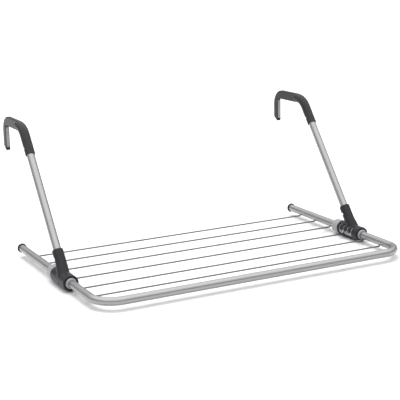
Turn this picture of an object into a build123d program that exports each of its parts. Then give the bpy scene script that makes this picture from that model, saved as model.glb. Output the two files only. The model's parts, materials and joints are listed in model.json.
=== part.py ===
"""Hang-over drying rack: a bent tube frame with six wires, two folding arms and door hooks.

+X right, +Y towards the door and beyond it, +Z up. The origin is the middle of the door's
top front edge: Y = 0 is the door face that the tube ends rest on, Z = 0 the door's top that
the hooks sit on. Every arm piece is modelled on the right side and mirrored to the left.
"""
from build123d import *
import os
from math import cos, sin, tan, radians

os.makedirs("parts", exist_ok=True)

# ---- Driving dimensions, millimetres and degrees -------------------------------------
SPAN = 660.0             # between the axes of the two side tubes
DEPTH = 427.5            # from the door face to the axis of the front bar
SEAT_TO_FRAME = 253.0    # hook seats above the frame's axis plane
TUBE_D = 16.0            # frame and arm tube, outside
TUBE_WALL = 1.2
CORNER_R = 45.0          # centreline bend of the frame tube

WIRE_D = 3.2
WIRE_Y = [-50.7, -111.1, -171.4, -235.7, -300.4, -356.2]
WIRE_DROP = 8.0          # wire axes below the frame's axis plane
WIRE_END = 5.2           # turned-up wire ends, inwards from the tube's axis
WIRE_BEND_R = 2.6        # bend at each wire's end
WIRE_TIP = 1.0           # the ends stop this far below the tube's axis
WIRE_FIT = 0.1           # radial play of a wire in its hole

CAP_D = 20.0             # rim of the end caps
CAP_RIM = 2.6            # thickness of that rim
CAP_EDGE_R = 0.9
CAP_PLUG = 14.0          # length of the plug inside the tube
CAP_PLUG_WALL = 1.8

ARM_Y = -257.6           # where the arm's axis crosses the side tube's axis
ARM_ANGLE = 52.0         # arm above the horizontal, leaning towards the door
ARM_TUBE_START = 27.0    # all distances along the arm start at that crossing
ARM_TUBE_END = 316.0

SLEEVE_D = 31.0          # black sleeve that turns on the bush
SLEEVE_REAR = -212.5
SLEEVE_FRONT = -285.5
SLEEVE_BORE_D = 27.0     # wide bore, from the sleeve's rear
SLEEVE_MOUTH_D = 20.6    # narrow bore at the sleeve's front
SLEEVE_STEP = -279.3     # where the one meets the other
SOCKET_D = 22.0
SOCKET_END = 62.0
TUBE_FIT = 0.05          # radial play of the arm tube in its sockets

SLOT_PITCH = 14.7        # comb of slots that lets the fourth wire through when folded
SLOT_W = 4.4
SLOT_TOP = 13.6          # top of the slots above the tube's axis
WINDOW_TOP = -1.2        # opening below the comb's fingers
WINDOW_BOTTOM = -11.6
FINGER_R = 4.6

BUSH_D = 26.4            # body of the bush, seen through the window
BUSH_STEP = -279.0
BUSH_NOSE_D = 20.0       # nose of the bush, in the sleeve's narrow bore
BUSH_FRONT = -289.2
BEAD_H = 0.7             # snap bead that keeps the sleeve on the bush
BEAD_W = 1.5
BEAD_TAPER = 30.0
BUSH_LEAD = 1.2          # chamfer that lets the sleeve start on the bush
COLLAR_D = 29.0
COLLAR_REAR = -189.0
COLLAR_REAR_R = 5.0
COLLAR_FACE_R = 0.6
NOTCH_HALF = 6.5         # half-width of the notch's mouth, at the tube's axis
RUN_GAP = 0.3            # end play between the sleeve and the bush
OVERLAP = 1.0            # how far joined shapes reach into each other before they are fused

HOOK_START = 270.5       # hook's mouth, along the arm
HOOK_ROUND_D = 19.8
HOOK_BAR_H = 20.0        # depth of the flat-sided bar
HOOK_BAR_W = 9.0         # width of the flat-sided bar
HOOK_BEND_R = 40.0       # centreline bend of the round stretch
HOOK_THROAT = 50.0       # front face of the tip, from the door face
HOOK_TIP_DEPTH = 17.5
TIP_DROP_REAR = 45.0     # tip's lower corners below the seat
TIP_DROP_FRONT = 56.0
PAD_T = 2.0              # soft pad on the tip's front face
PAD_W = 6.2
PAD_INSET = 0.8
PAD_TOP = -3.4
PAD_FOOT = -46.0
PAD_CORNER_R = 1.5
PAD_EDGE_R = 0.8

SCREW_HEAD_D = 5.4
SCREW_HEAD_H = 1.7
SCREW_EDGE_R = 0.8
SCREW_SHANK_D = 3.0
SCREW_SHANK = 4.2
SOCKET_SCREW = 46.5      # along the arm
HOOK_SCREW = 288.0
SCREW_SEAT = 8.8         # screw seats from the arm's axis
CROSS_W = 0.7            # arms of the screw's cross recess
CROSS_L = 2.8
GROOVE_L = 7.0           # groove round the underside of a socket, with the screw in it
GROOVE_HALF = 92.0       # degrees that it runs to each side of the underside

# ---- Derived places --------------------------------------------------------------------
SIDE = SPAN / 2
FRAME_Z = -SEAT_TO_FRAME
TUBE_R = TUBE_D / 2
SOCKET_R = SOCKET_D / 2
SLEEVE_R = SLEEVE_D / 2
HOOK_R = HOOK_ROUND_D / 2
RISE = sin(radians(ARM_ANGLE))
RUN = cos(radians(ARM_ANGLE))
SLOT_Y = [WIRE_Y[3] + SLOT_PITCH * k for k in (1, 0, -1, -2)]


def arm_point(s, off=0.0):
    """(y, z) at distance s along the arm, off above its axis."""
    return (ARM_Y + s * RUN - off * RISE, FRAME_Z + s * RISE + off * RUN)


def arm_distance(z, off=0.0):
    """Distance along the arm at which the line off above its axis reaches height z."""
    return (z - FRAME_Z - off * RUN) / RISE


def arm_cross(s):
    """Plane across the right arm at distance s, facing up the arm."""
    y, z = arm_point(s)
    return Plane(origin=(SIDE, y, z), x_dir=(1, 0, 0), z_dir=(0, RUN, RISE))


def arm_below(s, height):
    """Plane height below the right arm's axis at distance s, facing away from it."""
    y, z = arm_point(s, -height)
    return Plane(origin=(SIDE, y, z), x_dir=(1, 0, 0), z_dir=(0, RISE, -RUN))


def tube_cross(y):
    """Plane across the right side tube at y, facing the front bar."""
    return Plane(origin=(SIDE, y, FRAME_Z), x_dir=(1, 0, 0), z_dir=(0, -1, 0))


ARM_PLANE = Plane(origin=(SIDE, 0, 0), x_dir=(0, 1, 0), z_dir=(1, 0, 0))
PAD_SEAT = Plane(
    origin=(SIDE, HOOK_THROAT, (PAD_TOP + PAD_FOOT) / 2), x_dir=(1, 0, 0), z_dir=(0, -1, 0)
)


def groove_section():
    """Section of a screw groove, for an arm_cross plane: a ring sector outside the screw's seat."""
    reach = 2 * SOCKET_R
    edge_x = reach * sin(radians(GROOVE_HALF))
    edge_y = reach * cos(radians(GROOVE_HALF))
    with BuildSketch() as section:
        with BuildLine():
            Polyline(
                (0, 0), (-edge_x, edge_y), (-edge_x, reach), (edge_x, reach), (edge_x, edge_y), close=True
            )
        make_face()
        Circle(SCREW_SEAT, mode=Mode.SUBTRACT)
    return section.sketch


def write(part, name):
    """Label a finished piece and write it as its own file."""
    part.label = name
    export_step(part, "parts/" + name + ".step")


def write_pair(right, name):
    """Write a right-hand piece, and its mirror image for the left side."""
    write(right.part, name + "_right")
    with BuildPart() as left:
        mirror(right.part, about=Plane.YZ)
    write(left.part, name + "_left")


def wire_route(y):
    """Route of a wire: straight across, its ends turned up into the two side tubes."""
    across = SIDE - WIRE_END
    level = FRAME_Z - WIRE_DROP
    return [
        (-across, y, FRAME_Z - WIRE_TIP),
        (-across, y, level),
        (across, y, level),
        (across, y, FRAME_Z - WIRE_TIP),
    ]


# ---- Frame tube ----------------------------------------------------------------------
with BuildPart() as frame_tube:
    with BuildLine() as frame_path:
        FilletPolyline(
            (-SIDE, -CAP_RIM, FRAME_Z),
            (-SIDE, -DEPTH, FRAME_Z),
            (SIDE, -DEPTH, FRAME_Z),
            (SIDE, -CAP_RIM, FRAME_Z),
            radius=CORNER_R,
        )
    with BuildSketch(Plane(origin=(-SIDE, -CAP_RIM, FRAME_Z), z_dir=(0, -1, 0))):
        Circle(TUBE_R)
        Circle(TUBE_R - TUBE_WALL, mode=Mode.SUBTRACT)
    sweep(path=frame_path.wires()[0])
    for side in (-1, 1):
        for y in WIRE_Y:
            with BuildSketch(Plane(origin=(side * (SIDE - WIRE_END), y, FRAME_Z), z_dir=(0, 0, -1))):
                Circle(WIRE_D / 2 + WIRE_FIT)
            extrude(amount=TUBE_D, mode=Mode.SUBTRACT)
write(frame_tube.part, "frame_tube")

# ---- Drying wires --------------------------------------------------------------------
for number, y in enumerate(WIRE_Y, start=1):
    with BuildPart() as drying_wire:
        with BuildLine() as route:
            FilletPolyline(*wire_route(y), radius=WIRE_BEND_R)
        with BuildSketch(Plane(origin=route.line @ 0, z_dir=route.line % 0)):
            Circle(WIRE_D / 2)
        sweep(path=route.wires()[0])
    write(drying_wire.part, f"drying_wire_{number}")

# ---- End caps, whose faces rest on the door --------------------------------------------
with BuildPart() as end_cap:
    with BuildSketch(tube_cross(0)):
        Circle(CAP_D / 2)
    extrude(amount=CAP_RIM)
    fillet(end_cap.edges().filter_by(GeomType.CIRCLE), CAP_EDGE_R)
    with BuildSketch(tube_cross(-CAP_RIM)):
        Circle(TUBE_R - TUBE_WALL)
        Circle(TUBE_R - TUBE_WALL - CAP_PLUG_WALL, mode=Mode.SUBTRACT)
    extrude(amount=CAP_PLUG)
write_pair(end_cap, "end_cap")

# ---- Bush and collar, fixed on the side tube -------------------------------------------
with BuildPart() as joint_bush:
    with BuildSketch(tube_cross(COLLAR_REAR)):
        Circle(COLLAR_D / 2)
    extrude(amount=COLLAR_REAR - SLEEVE_REAR - RUN_GAP)
    fillet(joint_bush.edges().group_by(Axis.Y)[-1], COLLAR_REAR_R)
    fillet(joint_bush.edges().group_by(Axis.Y)[0], COLLAR_FACE_R)
    with BuildSketch(tube_cross(SLEEVE_REAR + OVERLAP)):
        Circle(BUSH_D / 2)
    extrude(amount=SLEEVE_REAR + OVERLAP - BUSH_STEP)
    with BuildSketch(tube_cross(BUSH_STEP + OVERLAP)):
        Circle(BUSH_NOSE_D / 2)
    extrude(amount=BUSH_STEP + OVERLAP - BUSH_FRONT)
    chamfer(joint_bush.edges().group_by(Axis.Y)[0], BUSH_LEAD)
    with BuildSketch(tube_cross(SLEEVE_FRONT - RUN_GAP)):
        Circle(BUSH_NOSE_D / 2 + BEAD_H)
    extrude(amount=BEAD_W, taper=BEAD_TAPER)
    with BuildSketch(tube_cross(0)):
        Circle(TUBE_R)
    extrude(amount=DEPTH, mode=Mode.SUBTRACT)
    # Notch for the fourth wire, which keys the bush to the frame.
    with BuildSketch(tube_cross(WIRE_Y[3] + WIRE_D / 2 + RUN_GAP)):
        with BuildLine():
            Polyline(
                (0, 0),
                (-COLLAR_D, -NOTCH_HALF),
                (-COLLAR_D, -COLLAR_D),
                (-NOTCH_HALF, -COLLAR_D),
                close=True,
            )
        make_face()
    extrude(amount=WIRE_D + 2 * RUN_GAP, mode=Mode.SUBTRACT)
write_pair(joint_bush, "joint_bush")

# ---- Arm joint: sleeve round the bush, socket for the arm tube --------------------------
SKIRT_TOP = 38.0
SKIRT_FOOT = -4.0
SKIRT_SINK = 0.5         # the skirt starts inside the socket's surface
SKIRT_R = SLEEVE_R + 0.8
SKIRT_DEPTH_R = SOCKET_R + 2.0
SKIRT_INNER_X = 1.0      # the skirt covers only the outer side of the arm's axis
JOINT_EDGE = 0.8
TUBE_STOP = 0.5          # the socket's bore runs this far below the arm tube
COMB_INNER_X = -3.0      # the comb is cut from here inwards
with BuildPart() as arm_joint:
    with BuildSketch(tube_cross(SLEEVE_REAR)):
        Circle(SLEEVE_R)
    extrude(amount=SLEEVE_REAR - SLEEVE_FRONT)
    chamfer(arm_joint.edges().filter_by(GeomType.CIRCLE), JOINT_EDGE)
    with BuildSketch(arm_cross(0)):
        Circle(SOCKET_R)
    extrude(amount=SOCKET_END)
    fillet(arm_joint.edges().group_by(Axis((0, 0, 0), (0, RUN, RISE)))[-1], JOINT_EDGE)
    # Skirt: the socket's outer half widens until it is flush with the sleeve.
    with BuildSketch(arm_cross(SKIRT_TOP)):
        Circle(SOCKET_R - SKIRT_SINK)
        with Locations((SKIRT_INNER_X - SOCKET_R, 0)):
            Rectangle(SOCKET_D, SOCKET_D, mode=Mode.SUBTRACT)
    with BuildSketch(arm_cross(SKIRT_FOOT)):
        Ellipse(SKIRT_R, SKIRT_DEPTH_R)
        with Locations((SKIRT_INNER_X - SKIRT_R, 0)):
            Rectangle(2 * SKIRT_R, 2 * SKIRT_R, mode=Mode.SUBTRACT)
    loft()
    # Bores for the bush and for the arm tube.
    with BuildSketch(tube_cross(0)):
        Circle(SLEEVE_BORE_D / 2)
    extrude(amount=-SLEEVE_STEP, mode=Mode.SUBTRACT)
    with BuildSketch(tube_cross(0)):
        Circle(SLEEVE_MOUTH_D / 2)
    extrude(amount=DEPTH, mode=Mode.SUBTRACT)
    with BuildSketch(arm_cross(ARM_TUBE_START - TUBE_STOP)):
        Circle(TUBE_R + TUBE_FIT)
    extrude(amount=SOCKET_END, mode=Mode.SUBTRACT)
    # Comb of slots above a long window, cut through the wall that faces the rack's middle.
    with BuildSketch(Plane(origin=(SIDE + COMB_INNER_X, 0, FRAME_Z), x_dir=(0, 1, 0), z_dir=(1, 0, 0))):
        with BuildLine():
            Polyline(
                (SLOT_Y[3] - SLOT_W / 2, WINDOW_BOTTOM),
                (SLOT_Y[0] + SLOT_W / 2, WINDOW_BOTTOM),
                (SLOT_Y[0] + SLOT_W / 2, WINDOW_TOP),
                (SLOT_Y[3] - SLOT_W / 2, WINDOW_TOP),
                close=True,
            )
        make_face()
        for y in SLOT_Y:
            with Locations((y, (SLOT_TOP + WINDOW_TOP) / 2 - OVERLAP)):
                Rectangle(SLOT_W, SLOT_TOP - WINDOW_TOP + 2 * OVERLAP)
    extrude(amount=-SLEEVE_D, mode=Mode.SUBTRACT)
    finger_ends = arm_joint.edges().filter_by(Axis.X).filter_by(
        lambda edge: abs(edge.center().Z - FRAME_Z - WINDOW_TOP) < 0.1
    )
    fillet(finger_ends, FINGER_R)
    # Groove and hole for the retaining screw.
    with BuildSketch(arm_cross(SOCKET_SCREW - GROOVE_L / 2)):
        add(groove_section())
    extrude(amount=GROOVE_L, mode=Mode.SUBTRACT)
    with BuildSketch(arm_below(SOCKET_SCREW, 0)):
        Circle(SCREW_SHANK_D / 2)
    extrude(amount=SOCKET_D, mode=Mode.SUBTRACT)
write_pair(arm_joint, "arm_joint")

# ---- Arm tube --------------------------------------------------------------------------
with BuildPart() as arm_tube:
    with BuildSketch(arm_cross(ARM_TUBE_START)):
        Circle(TUBE_R)
        Circle(TUBE_R - TUBE_WALL, mode=Mode.SUBTRACT)
    extrude(amount=ARM_TUBE_END - ARM_TUBE_START)
    for s in (SOCKET_SCREW, HOOK_SCREW):
        with BuildSketch(arm_below(s, 0)):
            Circle(SCREW_SHANK_D / 2)
        extrude(amount=TUBE_D, mode=Mode.SUBTRACT)
write_pair(arm_tube, "arm_tube")

# ---- Hook --------------------------------------------------------------------------------
BAR_OFF = HOOK_BAR_H / 2
SPINE_OFF = 11.0         # underside rib from the screw to the bend
SPINE_START = 293.0
OUTER_BEND_R = 58.0
REAR_CORNER_R = 34.0
TIP_REAR_R = 6.0
TIP_FRONT_R = 3.5
THROAT_REAR_R = 3.0
THROAT_FRONT_R = 5.0
SPINE_R = 0.5
BAR_EDGE_R = 2.0
ROUND_REACH = 3.0        # the round stretch runs on this far past its bend
BORE_CLEAR = 2.0         # the hook's bore runs this far past the arm tube's end
TIP_REAR = HOOK_THROAT + HOOK_TIP_DEPTH
with BuildPart() as hook:
    with BuildSketch(ARM_PLANE):
        with BuildLine():
            FilletPolyline(
                arm_point(SPINE_START, BAR_OFF),
                arm_point(arm_distance(HOOK_BAR_H, BAR_OFF), BAR_OFF),
                (TIP_REAR, HOOK_BAR_H),
                (TIP_REAR, -TIP_DROP_REAR),
                (HOOK_THROAT, -TIP_DROP_FRONT),
                (HOOK_THROAT, 0),
                arm_point(arm_distance(0, -SPINE_OFF), -SPINE_OFF),
                arm_point(SPINE_START, -SPINE_OFF),
                radius=[
                    SPINE_R,
                    OUTER_BEND_R,
                    REAR_CORNER_R,
                    TIP_REAR_R,
                    TIP_FRONT_R,
                    THROAT_REAR_R,
                    THROAT_FRONT_R,
                    SPINE_R,
                ],
                close=True,
            )
        make_face()
    extrude(amount=HOOK_BAR_W / 2, both=True)
    fillet(hook.faces().filter_by(Axis.X).edges(), BAR_EDGE_R)
    bend_y, bend_z = arm_point(arm_distance(BAR_OFF))
    round_end_y = bend_y + HOOK_BEND_R * tan(radians(ARM_ANGLE / 2)) + ROUND_REACH
    with BuildLine() as round_path:
        FilletPolyline(
            (SIDE, *arm_point(HOOK_START)),
            (SIDE, bend_y, bend_z),
            (SIDE, round_end_y, bend_z),
            radius=HOOK_BEND_R,
        )
    with BuildSketch(arm_cross(HOOK_START)):
        Circle(HOOK_R)
    sweep(path=round_path.wires()[0])
    with Locations(round_path.line @ 1):
        Sphere(HOOK_R)
    with BuildSketch(arm_cross(HOOK_START)):
        Circle(TUBE_R + TUBE_FIT)
    extrude(amount=ARM_TUBE_END + BORE_CLEAR - HOOK_START, mode=Mode.SUBTRACT)
    with BuildSketch(arm_cross(HOOK_SCREW - GROOVE_L / 2)):
        add(groove_section())
    extrude(amount=GROOVE_L, mode=Mode.SUBTRACT)
    with BuildSketch(arm_below(HOOK_SCREW, 0)):
        Circle(SCREW_SHANK_D / 2)
    extrude(amount=SOCKET_D, mode=Mode.SUBTRACT)
    with BuildSketch(PAD_SEAT):
        RectangleRounded(PAD_W, PAD_TOP - PAD_FOOT, PAD_CORNER_R)
    extrude(amount=-PAD_INSET, mode=Mode.SUBTRACT)
write_pair(hook, "hook")

# ---- Soft pad on the tip's front face -------------------------------------------------------
with BuildPart() as hook_pad:
    with BuildSketch(PAD_SEAT.offset(-PAD_INSET)):
        RectangleRounded(PAD_W, PAD_TOP - PAD_FOOT, PAD_CORNER_R)
    extrude(amount=PAD_T)
    fillet(hook_pad.edges().group_by(Axis.Y)[0], PAD_EDGE_R)
write_pair(hook_pad, "hook_pad")

# ---- Retaining screws ------------------------------------------------------------------------
for name, s in (("socket_screw", SOCKET_SCREW), ("hook_screw", HOOK_SCREW)):
    with BuildPart() as screw:
        with BuildSketch(arm_below(s, SCREW_SEAT)):
            Circle(SCREW_HEAD_D / 2)
        extrude(amount=SCREW_HEAD_H)
        fillet(screw.edges().sort_by(Axis((0, 0, 0), (0, RISE, -RUN)))[-1], SCREW_EDGE_R)
        with BuildSketch(arm_below(s, SCREW_SEAT - SCREW_SHANK)):
            Circle(SCREW_SHANK_D / 2)
        extrude(amount=SCREW_SHANK)
        with BuildSketch(arm_below(s, SCREW_SEAT + SCREW_HEAD_H)):
            Rectangle(CROSS_L, CROSS_W)
            Rectangle(CROSS_W, CROSS_L)
        extrude(amount=-CROSS_W, mode=Mode.SUBTRACT)
    write_pair(screw, name)
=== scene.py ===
"""Looks of a hang-over drying rack: coated tubes, drawn wires, moulded joints and hooks.

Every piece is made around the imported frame, in metres and in the frame's own axes: +X along the
wires, +Y into the door, +Z up. Each operator makes one kind of piece, and main() calls them all.
"""
import json
from math import cos, radians, sin, tan, tau

import bmesh
import bpy
from bpy.props import FloatProperty, FloatVectorProperty, IntProperty, PointerProperty
from mathutils import Matrix, Vector

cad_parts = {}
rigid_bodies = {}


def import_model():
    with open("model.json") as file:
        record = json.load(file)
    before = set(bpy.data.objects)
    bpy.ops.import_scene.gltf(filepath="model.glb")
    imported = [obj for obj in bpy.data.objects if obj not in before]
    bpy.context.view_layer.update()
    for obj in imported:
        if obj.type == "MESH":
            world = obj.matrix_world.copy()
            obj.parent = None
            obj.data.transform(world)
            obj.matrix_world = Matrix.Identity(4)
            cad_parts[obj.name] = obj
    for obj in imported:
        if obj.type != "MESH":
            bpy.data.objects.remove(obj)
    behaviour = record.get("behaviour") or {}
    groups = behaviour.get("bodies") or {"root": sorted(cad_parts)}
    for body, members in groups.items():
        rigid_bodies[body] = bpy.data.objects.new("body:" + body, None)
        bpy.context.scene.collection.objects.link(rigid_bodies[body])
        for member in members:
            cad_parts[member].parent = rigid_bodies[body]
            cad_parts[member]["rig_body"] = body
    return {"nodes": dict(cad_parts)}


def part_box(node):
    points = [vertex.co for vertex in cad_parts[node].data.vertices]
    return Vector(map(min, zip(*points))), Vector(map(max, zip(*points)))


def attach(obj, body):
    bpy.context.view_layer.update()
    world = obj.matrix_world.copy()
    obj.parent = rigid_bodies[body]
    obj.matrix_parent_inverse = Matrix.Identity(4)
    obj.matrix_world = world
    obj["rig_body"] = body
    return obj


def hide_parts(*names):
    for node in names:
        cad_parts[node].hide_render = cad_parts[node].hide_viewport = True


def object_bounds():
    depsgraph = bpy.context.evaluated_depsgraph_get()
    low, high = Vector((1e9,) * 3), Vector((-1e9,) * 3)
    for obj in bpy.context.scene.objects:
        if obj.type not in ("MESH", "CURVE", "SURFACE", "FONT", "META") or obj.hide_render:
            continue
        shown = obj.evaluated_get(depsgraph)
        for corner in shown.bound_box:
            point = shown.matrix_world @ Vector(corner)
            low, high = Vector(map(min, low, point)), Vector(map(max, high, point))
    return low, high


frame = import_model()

bl_info = {
    "name": "Hang-over drying rack",
    "version": (1, 0, 0),
    "blender": (4, 5, 0),
    "location": "View3D > Sidebar > Drying rack",
    "description": "Makes the visible pieces, finishes and studio of a fold-down drying rack",
    "category": "Add Mesh",
}

MM = 0.001
HANDS = ("left", "right")
CAD_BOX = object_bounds()

# ---- Places read from the frame ---------------------------------------------------------
TUBE_LOW, TUBE_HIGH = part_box("frame_tube")
TUBE_R = (TUBE_HIGH.z - TUBE_LOW.z) / 2
SIDE = TUBE_HIGH.x - TUBE_R              # axis of each side tube, from the middle
FRAME_Z = TUBE_LOW.z + TUBE_R
FRONT_Y = TUBE_LOW.y + TUBE_R            # axis of the front bar
WIRE_NODES = sorted(name for name in frame["nodes"] if name.startswith("drying_wire_"))
ARM_LEAN = radians(52)                   # the arms above the horizontal, towards the door

# ---- Making the meshes --------------------------------------------------------------------
CORNER_STEPS = 24                        # straight steps in a bend of the frame tube
WIRE_BEND = 1.6                          # bend of a wire's end, in wire radii
WIRE_BEND_STEPS = 8
HOLE_SIDES = 32
MOULD_FACES = 0.22                       # share of a moulding's faces that are kept
PAD_CORNER = 1.5 * MM
PAD_CORNER_STEPS = 6
# Crown of a pad, from its seat to the door: share of its depth, and millimetres drawn in.
PAD_CROWN = ((0.0, 0.0), (0.55, 0.0), (0.80, 0.25), (0.93, 0.7), (1.0, 1.4))

# ---- Studio ---------------------------------------------------------------------------------
# Brightness of the room by height: the height's share of straight up, and the share of full light.
ROOM_GREYS = ((0.0, 0.10), (0.25, 0.18), (0.55, 0.62), (0.80, 1.0))
ROOM_STRENGTH = 2.0
LAMP_STRENGTH = 1.2
LAMP_SPREAD = radians(25)
LAMP_TILT = radians(-18)                 # shadows fall a little towards the front bar


# ---- Colours and nodes --------------------------------------------------------------------
def linear(hex_colour):
    """An sRGB hex colour as linear red, green, blue and alpha."""
    shares = [int(hex_colour[i:i + 2], 16) / 255 for i in (0, 2, 4)]
    return (*[s / 12.92 if s <= 0.04045 else ((s + 0.055) / 1.055) ** 2.4 for s in shares], 1.0)


def add_node(tree, kind, inputs=None, **settings):
    """Add a shader node. An input is a value, or the output socket that feeds it."""
    node = tree.nodes.new("ShaderNode" + kind)
    for name, value in settings.items():
        setattr(node, name, value)
    for key, value in (inputs or {}).items():
        if isinstance(value, bpy.types.NodeSocket):
            tree.links.new(value, node.inputs[key])
        else:
            node.inputs[key].default_value = value
    return node


def new_material(name):
    """A material with one principled shader, its node tree and that shader."""
    material = bpy.data.materials.new(name)
    material.use_nodes = True
    tree = material.node_tree
    tree.nodes.clear()
    shader = add_node(tree, "BsdfPrincipled")
    add_node(tree, "OutputMaterial", {"Surface": shader.outputs["BSDF"]})
    return material, tree, shader


def grain(tree, place, size_mm, low, high):
    """Noise with features of a real size, mapped from low to high."""
    noise = add_node(tree, "TexNoise", {"Vector": place, "Scale": 1 / (size_mm * MM), "Detail": 2.0})
    spread = add_node(
        tree,
        "MapRange",
        {"Value": noise.outputs["Fac"], "From Min": 0.3, "From Max": 0.7, "To Min": low, "To Max": high},
    )
    return spread.outputs["Result"]


def tinted(tree, factor, colour):
    """A colour brightened or darkened by a varying factor."""
    tint = add_node(tree, "VectorMath", {0: colour[:3], "Scale": factor}, operation="SCALE")
    return tint.outputs["Vector"]


def relief(tree, height, depth_mm, under=None):
    """Bump of a real depth, laid over another bump where one is given."""
    inputs = {"Height": height, "Distance": depth_mm * MM, "Strength": 1.0}
    if under is not None:
        inputs["Normal"] = under
    return add_node(tree, "Bump", inputs).outputs["Normal"]


def convexity(tree, low, high):
    """How much an edge stands out, mapped from low to high: where hands and doors rub."""
    shape = add_node(tree, "NewGeometry").outputs["Pointiness"]
    return add_node(
        tree,
        "MapRange",
        {"Value": shape, "From Min": 0.5, "From Max": 0.6, "To Min": low, "To Max": high},
    ).outputs["Result"]


# ---- Materials ------------------------------------------------------------------------------
def powder_coated_steel(name, colour):
    """Steel tube in metallic grey powder coat: satin, with fine flakes and a soft orange peel."""
    material, tree, shader = new_material(name)
    place = add_node(tree, "TexCoord").outputs["Object"]
    # Flakes are 0.05 mm across on the real coat, and are drawn at 0.8 mm so that they show.
    flakes = grain(tree, place, 0.8, 0.96, 1.04)
    tree.links.new(tinted(tree, flakes, colour), shader.inputs["Base Color"])
    tree.links.new(grain(tree, place, 35, 0.30, 0.37), shader.inputs["Roughness"])
    peel = grain(tree, place, 2.5, 0.0, 1.0)
    tree.links.new(relief(tree, peel, 0.006), shader.inputs["Normal"])
    shader.inputs["Metallic"].default_value = 0.85
    shader.inputs["Coat Weight"].default_value = 0.12
    shader.inputs["Coat Roughness"].default_value = 0.25
    return material


def drawn_steel_wire(name, colour):
    """Cold-drawn steel wire under a thin grey coat: darker than the tube, faint lengthwise marks."""
    material, tree, shader = new_material(name)
    place = add_node(tree, "TexCoord").outputs["Object"]
    stretched = add_node(tree, "Mapping", {"Vector": place, "Scale": (0.02, 1.0, 1.0)}).outputs["Vector"]
    # Die marks are 0.1 mm wide on real wire, and are drawn at 0.5 mm so that they show.
    marks = grain(tree, stretched, 0.5, 0.9, 1.1)
    tree.links.new(tinted(tree, marks, colour), shader.inputs["Base Color"])
    tree.links.new(grain(tree, place, 20, 0.30, 0.40), shader.inputs["Roughness"])
    tree.links.new(relief(tree, marks, 0.02), shader.inputs["Normal"])
    shader.inputs["Metallic"].default_value = 0.85
    return material


def moulded_plastic(name, colour, roughness, wear):
    """Injection-moulded polypropylene or ABS: spark-eroded texture, rubbed smooth on its edges."""
    material, tree, shader = new_material(name)
    place = add_node(tree, "TexCoord").outputs["Object"]
    rubbed = convexity(tree, 1.0, wear)
    clouds = grain(tree, place, 9, 0.94, 1.06)
    both = add_node(tree, "Math", {0: rubbed, 1: clouds}, operation="MULTIPLY").outputs["Value"]
    tree.links.new(tinted(tree, both, colour), shader.inputs["Base Color"])
    tree.links.new(grain(tree, place, 5, roughness - 0.05, roughness + 0.05), shader.inputs["Roughness"])
    # The eroded texture is 0.1 mm on the real mould, and is drawn at 0.6 mm so that it shows.
    texture = relief(tree, grain(tree, place, 0.6, 0.0, 1.0), 0.018)
    tree.links.new(relief(tree, grain(tree, place, 6, 0.0, 1.0), 0.03, texture), shader.inputs["Normal"])
    shader.inputs["IOR"].default_value = 1.49
    shader.inputs["Specular IOR Level"].default_value = 0.2
    return material


def natural_acetal(name, colour):
    """Natural acetal of the bushes: waxy and slightly milky, with soft flow clouds."""
    material, tree, shader = new_material(name)
    place = add_node(tree, "TexCoord").outputs["Object"]
    tree.links.new(tinted(tree, grain(tree, place, 8, 0.95, 1.05), colour), shader.inputs["Base Color"])
    tree.links.new(grain(tree, place, 3, 0.33, 0.42), shader.inputs["Roughness"])
    tree.links.new(relief(tree, grain(tree, place, 1.2, 0.0, 1.0), 0.01), shader.inputs["Normal"])
    shader.inputs["IOR"].default_value = 1.48
    return material


def soft_elastomer(name, colour):
    """Thermoplastic elastomer of the pads: matt, dusty in its pores, a little darker where rubbed."""
    material, tree, shader = new_material(name)
    place = add_node(tree, "TexCoord").outputs["Object"]
    tree.links.new(tinted(tree, grain(tree, place, 4, 0.92, 1.06), colour), shader.inputs["Base Color"])
    tree.links.new(grain(tree, place, 2, 0.62, 0.74), shader.inputs["Roughness"])
    tree.links.new(relief(tree, grain(tree, place, 0.7, 0.0, 1.0), 0.03), shader.inputs["Normal"])
    shader.inputs["Sheen Weight"].default_value = 0.15
    return material


def zinc_plated_steel(name, colour):
    """Bright zinc-plated screw: metallic, with a faint passivation haze and turning marks."""
    material, tree, shader = new_material(name)
    place = add_node(tree, "TexCoord").outputs["Object"]
    tree.links.new(tinted(tree, grain(tree, place, 1.5, 0.88, 1.08), colour), shader.inputs["Base Color"])
    tree.links.new(grain(tree, place, 0.8, 0.22, 0.34), shader.inputs["Roughness"])
    tree.links.new(relief(tree, grain(tree, place, 0.4, 0.0, 1.0), 0.01), shader.inputs["Normal"])
    shader.inputs["Metallic"].default_value = 1.0
    return material


# ---- Mesh making --------------------------------------------------------------------------------
def rounded_path(corners, radius, steps):
    """Straight runs between corners, joined by arcs of one radius."""
    points = [corners[0]]
    for before, corner, after in zip(corners, corners[1:], corners[2:]):
        arriving = (corner - before).normalized()
        leaving = (after - corner).normalized()
        turn = arriving.angle(leaving)
        start = corner - arriving * radius * tan(turn / 2)
        inwards = (leaving - arriving * arriving.dot(leaving)).normalized()
        centre = start + inwards * radius
        axis = arriving.cross(leaving).normalized()
        for step in range(steps + 1):
            points.append(centre + Matrix.Rotation(turn * step / steps, 3, axis) @ (start - centre))
    points.append(corners[-1])
    return points


def ring(mesh, centre, side, across, radius, sides):
    """A circle of new vertices."""
    angles = [tau * k / sides for k in range(sides)]
    return [mesh.verts.new(centre + (side * cos(a) + across * sin(a)) * radius) for a in angles]


def bridge(mesh, first, second):
    """Faces between two circles of the same size."""
    count = len(first)
    for k in range(count):
        mesh.faces.new((first[k], first[(k + 1) % count], second[(k + 1) % count], second[k]))


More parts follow.
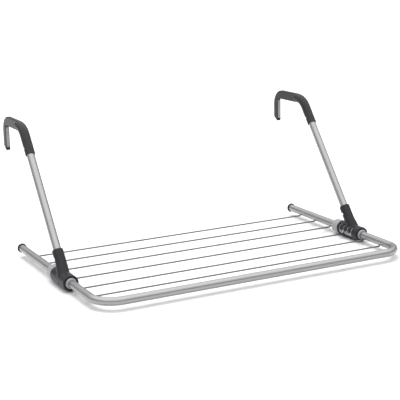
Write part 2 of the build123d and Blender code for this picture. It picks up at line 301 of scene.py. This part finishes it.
def sweep(path, radius, sides, bore=0.0):
    """A round bar along a path, or a tube where it has a bore."""
    mesh = bmesh.new()
    runs = [(b - a).normalized() for a, b in zip(path, path[1:])]
    headings = [runs[0], *[(a + b).normalized() for a, b in zip(runs, runs[1:])], runs[-1]]
    side = headings[0].orthogonal().normalized()
    skins = [[] for _ in ((radius, bore) if bore else (radius,))]
    for index, point in enumerate(path):
        if index:
            side = headings[index - 1].rotation_difference(headings[index]) @ side
        across = headings[index].cross(side)
        for skin, size in zip(skins, (radius, bore)):
            skin.append(ring(mesh, point, side, across, size, sides))
    for skin in skins:
        for first, second in zip(skin, skin[1:]):
            bridge(mesh, first, second)
    for end in (0, -1):
        if bore:
            bridge(mesh, skins[0][end], skins[1][end])
        else:
            mesh.faces.new(skins[0][end])
    bmesh.ops.recalc_face_normals(mesh, faces=mesh.faces)
    return mesh


def lathe(outline, origin, axis, sides):
    """A closed outline of (distance along the axis, radius), turned about that axis."""
    mesh = bmesh.new()
    side = axis.orthogonal().normalized()
    across = axis.cross(side)
    turned = []
    for distance, radius in outline:
        centre = origin + axis * distance
        if radius:
            turned.append(ring(mesh, centre, side, across, radius, sides))
        else:
            turned.append([mesh.verts.new(centre)])
    for first, second in zip(turned, turned[1:] + turned[:1]):
        if len(first) == len(second) == sides:
            bridge(mesh, first, second)
        elif len(first) != len(second):
            pole, rim = sorted((first, second), key=len)
            for k in range(sides):
                mesh.faces.new((pole[0], rim[k], rim[(k + 1) % sides]))
    bmesh.ops.recalc_face_normals(mesh, faces=mesh.faces)
    return mesh


def finish_piece(name, mesh, node, material, sharp=40):
    """Put a mesh in the scene in place of a CAD node, riding on that node's body."""
    data = bpy.data.meshes.new(name)
    mesh.to_mesh(data)
    mesh.free()
    data.shade_smooth()
    data.set_sharp_from_angle(angle=radians(sharp))
    piece = bpy.data.objects.new(name, data)
    bpy.context.scene.collection.objects.link(piece)
    data.materials.append(material)
    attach(piece, frame["nodes"][node]["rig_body"])
    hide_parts(node)
    return piece


def bake_modifiers(piece, sharp=None):
    """Turn a piece's modifiers into its mesh."""
    bpy.context.view_layer.update()
    ready = piece.evaluated_get(bpy.context.evaluated_depsgraph_get())
    data = bpy.data.meshes.new_from_object(ready)
    if not data.polygons:
        raise RuntimeError(piece.name + " came out empty")
    piece.modifiers.clear()
    piece.data = data
    if sharp is not None:
        data.set_sharp_from_angle(angle=radians(sharp))


def soften_edges(piece, width, segments=3, angle=40):
    """Round every sharp edge by a real width."""
    bevel = piece.modifiers.new("edges", "BEVEL")
    bevel.width = width
    bevel.segments = segments
    bevel.limit_method = "ANGLE"
    bevel.angle_limit = radians(angle)
    bevel.harden_normals = True


def moulded_copy(name, node, material, sizes):
    """A CAD node as it leaves the mould: one skin, with every edge and inner corner radiused."""
    mesh = bmesh.new()
    mesh.from_mesh(frame["nodes"][node].data)
    bmesh.ops.remove_doubles(mesh, verts=mesh.verts, dist=0.001 * MM)
    piece = finish_piece(name, mesh, node, material)
    skin = piece.modifiers.new("skin", "REMESH")
    skin.mode = "VOXEL"
    skin.voxel_size = sizes.mould_detail
    skin.use_smooth_shade = True
    radii = piece.modifiers.new("radii", "SMOOTH")
    radii.factor = 0.5
    radii.iterations = sizes.mould_rounding
    fewer = piece.modifiers.new("fewer", "DECIMATE")
    fewer.ratio = MOULD_FACES
    bake_modifiers(piece)
    piece.data.shade_smooth()
    return piece


def finish_node(node, material):
    """Keep a CAD node in view and give it a finish."""
    kept = frame["nodes"][node]
    for material_slot in kept.material_slots:
        material_slot.material = material


# ---- Sizes and colours that a user would change ---------------------------------------------------
class RackSizes(bpy.types.PropertyGroup):
    """Sizes of the visible pieces and the studio."""

    tube_wall: FloatProperty(name="Tube wall", description="Steel tube wall", default=1.2 * MM, unit="LENGTH")
    corner_radius: FloatProperty(
        name="Corner radius", description="Bend of the frame tube", default=45 * MM, unit="LENGTH"
    )
    tube_sides: IntProperty(name="Tube sides", description="Facets round a tube", default=64)
    wire_sides: IntProperty(name="Wire sides", description="Facets round a wire", default=20)
    wire_hole: FloatProperty(
        name="Wire hole", description="Radial play of a wire in the tube", default=0.15 * MM, unit="LENGTH"
    )
    cap_edge: FloatProperty(
        name="Cap edge", description="Radius of the cap rim", default=0.8 * MM, unit="LENGTH"
    )
    mould_detail: FloatProperty(
        name="Mould detail", description="Finest detail of the mouldings", default=0.45 * MM, unit="LENGTH"
    )
    mould_rounding: IntProperty(name="Mould rounding", description="Softness of moulded edges", default=8)
    floor_gap: FloatProperty(
        name="Floor gap", description="Floor below the lowest point", default=2.0 * MM, unit="LENGTH"
    )
    lens: FloatProperty(name="Lens", description="Focal length", default=100.73, unit="CAMERA")
    camera_place: FloatVectorProperty(
        name="Camera",
        description="Where the camera stands",
        default=(-1.0231, -2.1799, 0.3791),
        unit="LENGTH",
    )
    camera_azimuth: FloatProperty(
        name="Azimuth", description="Camera round the rack", default=radians(-27.061), subtype="ANGLE"
    )
    camera_elevation: FloatProperty(
        name="Elevation", description="Camera above the horizon", default=radians(13.400), subtype="ANGLE"
    )
    camera_roll: FloatProperty(
        name="Roll", description="Camera about its own axis", default=radians(-1.283), subtype="ANGLE"
    )


def colour_property(name, description, hex_colour):
    """A colour that a user would change, given as sRGB hex."""
    return FloatVectorProperty(
        name=name, description=description, subtype="COLOR", size=4, min=0, max=1, default=linear(hex_colour)
    )


class RackColours(bpy.types.PropertyGroup):
    """Colours of the finishes."""

    coat: colour_property("Powder coat", "Metallic grey of the tubes", "9E9E9F")
    wire: colour_property("Wire", "Grey of the drying wires", "6C6C6D")
    joint: colour_property("Joint", "Plastic of the arm joints", "28282B")
    hook: colour_property("Hook", "Plastic of the hooks", "313133")
    cap: colour_property("End cap", "Plastic of the end caps", "1E1E20")
    bush: colour_property("Bush", "Natural acetal of the bushes", "96969B")
    pad: colour_property("Pad", "Elastomer of the hook pads", "929294")
    screw: colour_property("Screw", "Zinc plating of the screws", "D6D6D8")


# ---- Operators ------------------------------------------------------------------------------------
class RACK_OT_stage(bpy.types.Operator):
    """Floor, soft studio light and the camera"""

    bl_idname = "rack.stage"
    bl_label = "Stage"

    def execute(self, context):
        sizes = context.scene.rack_sizes
        self.floor(context, CAD_BOX[0].z - sizes.floor_gap)
        self.light(context)
        self.camera(context, sizes)
        return {"FINISHED"}

    def floor(self, context, level):
        """A wide, matt floor."""
        mesh = bmesh.new()
        bmesh.ops.create_grid(mesh, x_segments=8, y_segments=8, size=40.0)
        data = bpy.data.meshes.new("floor")
        mesh.to_mesh(data)
        mesh.free()
        floor = bpy.data.objects.new("floor", data)
        floor.location.z = level
        context.scene.collection.objects.link(floor)
        # Matt off-white studio paper: even, with no gloss of its own.
        material, tree, shader = new_material("studio_paper")
        shader.inputs["Base Color"].default_value = linear("E2E2E2")
        shader.inputs["Roughness"].default_value = 0.9
        shader.inputs["Specular IOR Level"].default_value = 0.0
        data.materials.append(material)

    def light(self, context):
        """A room that is bright above and dim near the horizon, and one soft lamp overhead."""
        world = bpy.data.worlds.new("studio")
        context.scene.world = world
        world.use_nodes = True
        tree = world.node_tree
        tree.nodes.clear()
        direction = add_node(tree, "TexCoord").outputs["Generated"]
        height = add_node(tree, "SeparateXYZ", {"Vector": direction}).outputs["Z"]
        ramp = add_node(tree, "ValToRGB", {"Fac": height})
        stops = ramp.color_ramp.elements
        for end, (position, grey) in zip((0, 1), (ROOM_GREYS[0], ROOM_GREYS[-1])):
            stops[end].position = position
            stops[end].color = (grey, grey, grey, 1)
        for position, grey in ROOM_GREYS[1:-1]:
            stops.new(position).color = (grey, grey, grey, 1)
        room = add_node(tree, "Background", {"Color": ramp.outputs["Color"], "Strength": ROOM_STRENGTH})
        white = add_node(tree, "Background", {"Color": (1, 1, 1, 1), "Strength": 1.0})
        seen = add_node(tree, "LightPath").outputs["Is Camera Ray"]
        both = add_node(tree, "MixShader", {0: seen, 1: room.outputs[0], 2: white.outputs[0]})
        add_node(tree, "OutputWorld", {"Surface": both.outputs[0]})
        lamp = bpy.data.lights.new("overhead", "SUN")
        lamp.energy = LAMP_STRENGTH
        lamp.angle = LAMP_SPREAD
        overhead = bpy.data.objects.new("overhead", lamp)
        overhead.location.z = 2.0
        overhead.rotation_euler.x = LAMP_TILT
        overhead.visible_glossy = False
        context.scene.collection.objects.link(overhead)
        context.scene.view_settings.view_transform = "Standard"

    def camera(self, context, sizes):
        """The camera, at the view that the rack is shown from."""
        azimuth, elevation, roll = sizes.camera_azimuth, sizes.camera_elevation, sizes.camera_roll
        back = Vector((sin(azimuth) * cos(elevation), -cos(azimuth) * cos(elevation), sin(elevation)))
        right = (-back).cross(Vector((0, 0, 1))).normalized()
        up = right.cross(-back)
        columns = (right * cos(roll) + up * sin(roll), up * cos(roll) - right * sin(roll), back)
        data = bpy.data.cameras.new("camera")
        data.lens = sizes.lens
        data.sensor_width = 36
        data.clip_end = 200
        camera = bpy.data.objects.new("camera", data)
        turn = Matrix(columns).transposed().to_4x4()
        camera.matrix_world = Matrix.Translation(sizes.camera_place) @ turn
        context.scene.collection.objects.link(camera)
        context.scene.camera = camera


class RACK_OT_frame_tube(bpy.types.Operator):
    """Bent frame tube, drilled for the wires"""

    bl_idname = "rack.frame_tube"
    bl_label = "Frame tube"

    def execute(self, context):
        sizes = context.scene.rack_sizes
        corners = [
            Vector((-SIDE, TUBE_HIGH.y, FRAME_Z)),
            Vector((-SIDE, FRONT_Y, FRAME_Z)),
            Vector((SIDE, FRONT_Y, FRAME_Z)),
            Vector((SIDE, TUBE_HIGH.y, FRAME_Z)),
        ]
        path = rounded_path(corners, sizes.corner_radius, CORNER_STEPS)
        coat = powder_coated_steel("powder_coated_frame", context.scene.rack_colours.coat)
        mesh = sweep(path, TUBE_R, sizes.tube_sides, TUBE_R - sizes.tube_wall)
        piece = finish_piece("frame_tube_coated", mesh, "frame_tube", coat)
        drills = self.drills(context, sizes)
        holes = piece.modifiers.new("wire_holes", "BOOLEAN")
        holes.operation = "DIFFERENCE"
        holes.solver = "EXACT"
        holes.object = drills
        bake_modifiers(piece, sharp=40)
        bpy.data.objects.remove(drills)
        return {"FINISHED"}

    def drills(self, context, sizes):
        """One mesh of all the wire holes, from the tube's middle down through its wall."""
        mesh = bmesh.new()
        for node in WIRE_NODES:
            low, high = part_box(node)
            wire_r = (high.y - low.y) / 2
            for x in (low.x + wire_r, high.x - wire_r):
                top = Vector((x, low.y + wire_r, FRAME_Z))
                hole = sweep([top, top - Vector((0, 0, 2 * TUBE_R))], wire_r + sizes.wire_hole, HOLE_SIDES)
                data = bpy.data.meshes.new("hole")
                hole.to_mesh(data)
                hole.free()
                mesh.from_mesh(data)
                bpy.data.meshes.remove(data)
        data = bpy.data.meshes.new("drills")
        mesh.to_mesh(data)
        mesh.free()
        drills = bpy.data.objects.new("drills", data)
        context.scene.collection.objects.link(drills)
        return drills


class RACK_OT_wires(bpy.types.Operator):
    """Drying wires, their ends turned up into the side tubes"""

    bl_idname = "rack.wires"
    bl_label = "Drying wires"

    def execute(self, context):
        sizes = context.scene.rack_sizes
        steel = drawn_steel_wire("drawn_steel_wire", context.scene.rack_colours.wire)
        for node in WIRE_NODES:
            low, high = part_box(node)
            wire_r = (high.y - low.y) / 2
            left, right = low.x + wire_r, high.x - wire_r
            y, level = low.y + wire_r, low.z + wire_r
            places = ((left, high.z), (left, level), (right, level), (right, high.z))
            corners = [Vector((x, y, z)) for x, z in places]
            path = rounded_path(corners, WIRE_BEND * wire_r, WIRE_BEND_STEPS)
            finish_piece(node + "_drawn", sweep(path, wire_r, sizes.wire_sides), node, steel)
        return {"FINISHED"}


class RACK_OT_end_caps(bpy.types.Operator):
    """Caps in the tube ends, whose faces rest on the door"""

    bl_idname = "rack.end_caps"
    bl_label = "End caps"

    def execute(self, context):
        sizes = context.scene.rack_sizes
        plastic = moulded_plastic("moulded_cap_plastic", context.scene.rack_colours.cap, 0.45, 1.3)
        for hand in HANDS:
            node = "end_cap_" + hand
            low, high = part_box(node)
            centre = Vector(((low.x + high.x) / 2, high.y, (low.z + high.z) / 2))
            cap_r = (high.x - low.x) / 2
            rim = high.y - TUBE_HIGH.y
            bore_r = TUBE_R - sizes.tube_wall
            depth = high.y - low.y
            # The face is dished round a small gate mark; the plug is a thin-walled cup.
            outline = [
                (0.5 * MM, 0),
                (0.5 * MM, 1.3 * MM),
                (0.8 * MM, 1.6 * MM),
                (0.8 * MM, cap_r - 4.2 * MM),
                (0, cap_r - 3.2 * MM),
                (0, cap_r),
                (rim, cap_r),
                (rim, bore_r),
                (depth - 1.0 * MM, bore_r),
                (depth, bore_r - 0.6 * MM),
                (depth, bore_r - 1.8 * MM),
                (rim, bore_r - 1.8 * MM),
                (rim, 0),
            ]
            mesh = lathe(outline, centre, Vector((0, -1, 0)), sizes.tube_sides)
            piece = finish_piece(node + "_moulded", mesh, node, plastic, sharp=30)
            soften_edges(piece, sizes.cap_edge, angle=50)
            bake_modifiers(piece)
        return {"FINISHED"}


class RACK_OT_bushes(bpy.types.Operator):
    """Bushes and collars that the arm joints turn on"""

    bl_idname = "rack.bushes"
    bl_label = "Bushes"

    def execute(self, context):
        acetal = natural_acetal("natural_acetal_bush", context.scene.rack_colours.bush)
        for hand in HANDS:
            finish_node("joint_bush_" + hand, acetal)
        return {"FINISHED"}


class RACK_OT_arm_joints(bpy.types.Operator):
    """Black joints: sleeve, comb and socket in one moulding"""

    bl_idname = "rack.arm_joints"
    bl_label = "Arm joints"

    def execute(self, context):
        plastic = moulded_plastic("moulded_joint_plastic", context.scene.rack_colours.joint, 0.38, 1.15)
        for hand in HANDS:
            node = "arm_joint_" + hand
            moulded_copy(node + "_moulded", node, plastic, context.scene.rack_sizes)
        return {"FINISHED"}


class RACK_OT_arm_tubes(bpy.types.Operator):
    """Straight arm tubes between the joints and the hooks"""

    bl_idname = "rack.arm_tubes"
    bl_label = "Arm tubes"

    def execute(self, context):
        sizes = context.scene.rack_sizes
        coat = powder_coated_steel("powder_coated_arm", context.scene.rack_colours.coat)
        for hand in HANDS:
            node = "arm_tube_" + hand
            low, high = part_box(node)
            middle_x = (low.x + high.x) / 2
            # The box of a leaning tube reaches past its axis by the tilt of its end circles.
            tilt = Vector((0, sin(ARM_LEAN), cos(ARM_LEAN))) * TUBE_R
            start = Vector((middle_x, low.y, low.z)) + tilt
            end = Vector((middle_x, high.y, high.z)) - tilt
            mesh = sweep([start, end], TUBE_R, sizes.tube_sides, TUBE_R - sizes.tube_wall)
            finish_piece(node + "_coated", mesh, node, coat)
        return {"FINISHED"}


class RACK_OT_hooks(bpy.types.Operator):
    """Door hooks: a round grip that turns into a flat-sided bar and tip"""

    bl_idname = "rack.hooks"
    bl_label = "Hooks"

    def execute(self, context):
        plastic = moulded_plastic("moulded_hook_plastic", context.scene.rack_colours.hook, 0.38, 1.1)
        for hand in HANDS:
            node = "hook_" + hand
            moulded_copy(node + "_moulded", node, plastic, context.scene.rack_sizes)
        return {"FINISHED"}


class RACK_OT_hook_pads(bpy.types.Operator):
    """Soft pads on the hook tips, let into a shallow seat"""

    bl_idname = "rack.hook_pads"
    bl_label = "Hook pads"

    def execute(self, context):
        elastomer = soft_elastomer("soft_elastomer_pad", context.scene.rack_colours.pad)
        for hand in HANDS:
            node = "hook_pad_" + hand
            low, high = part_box(node)
            piece = finish_piece(node + "_soft", self.strip(low, high), node, elastomer, sharp=60)
        return {"FINISHED"}

    def strip(self, low, high):
        """A strip with round corners, crowned towards the door."""
        mesh = bmesh.new()
        half_w, half_h = (high.x - low.x) / 2, (high.z - low.z) / 2
        centre = (low + high) / 2
        depth = high.y - low.y
        rows = []
        for share, inset in PAD_CROWN:
            row = []
            for quarter, (sx, sz) in enumerate(((1, 1), (-1, 1), (-1, -1), (1, -1))):
                for step in range(PAD_CORNER_STEPS + 1):
                    angle = tau / 4 * (quarter + step / PAD_CORNER_STEPS)
                    radius = max(PAD_CORNER - inset * MM, 0.1 * MM)
                    x = sx * (half_w - PAD_CORNER) + radius * cos(angle)
                    z = sz * (half_h - PAD_CORNER) + radius * sin(angle)
                    row.append(mesh.verts.new((centre.x + x, high.y - share * depth, centre.z + z)))
            rows.append(row)
        for first, second in zip(rows, rows[1:]):
            bridge(mesh, first, second)
        mesh.faces.new(rows[0])
        mesh.faces.new(rows[-1])
        bmesh.ops.recalc_face_normals(mesh, faces=mesh.faces)
        return mesh


class RACK_OT_screws(bpy.types.Operator):
    """Cross-head screws that hold the arm tubes in their sockets"""

    bl_idname = "rack.screws"
    bl_label = "Screws"

    def execute(self, context):
        zinc = zinc_plated_steel("zinc_plated_screw", context.scene.rack_colours.screw)
        for place in ("socket_screw_", "hook_screw_"):
            for hand in HANDS:
                finish_node(place + hand, zinc)
        return {"FINISHED"}


class RACK_PT_builder(bpy.types.Panel):
    """Lists the rack's sizes, colours and pieces"""

    bl_idname = "RACK_PT_builder"
    bl_label = "Drying rack"
    bl_space_type = "VIEW_3D"
    bl_region_type = "UI"
    bl_category = "Drying rack"

    def draw(self, context):
        for group in (context.scene.rack_sizes, context.scene.rack_colours):
            column = self.layout.column(align=True)
            for name in group.__annotations__:
                column.prop(group, name)
        for operator in OPERATORS:
            self.layout.operator(operator.bl_idname)


OPERATORS = (
    RACK_OT_stage,
    RACK_OT_frame_tube,
    RACK_OT_wires,
    RACK_OT_end_caps,
    RACK_OT_bushes,
    RACK_OT_arm_joints,
    RACK_OT_arm_tubes,
    RACK_OT_hooks,
    RACK_OT_hook_pads,
    RACK_OT_screws,
)
CLASSES = (RackSizes, RackColours, *OPERATORS, RACK_PT_builder)


def register():
    for cls in CLASSES:
        bpy.utils.register_class(cls)
    bpy.types.Scene.rack_sizes = PointerProperty(type=RackSizes)
    bpy.types.Scene.rack_colours = PointerProperty(type=RackColours)


def unregister():
    del bpy.types.Scene.rack_sizes
    del bpy.types.Scene.rack_colours
    for cls in reversed(CLASSES):
        bpy.utils.unregister_class(cls)


def main():
    """Make the whole rack."""
    register()
    bpy.ops.rack.stage()
    bpy.ops.rack.frame_tube()
    bpy.ops.rack.wires()
    bpy.ops.rack.end_caps()
    bpy.ops.rack.bushes()
    bpy.ops.rack.arm_joints()
    bpy.ops.rack.arm_tubes()
    bpy.ops.rack.hooks()
    bpy.ops.rack.hook_pads()
    bpy.ops.rack.screws()


if __name__ == "__main__":
    main()
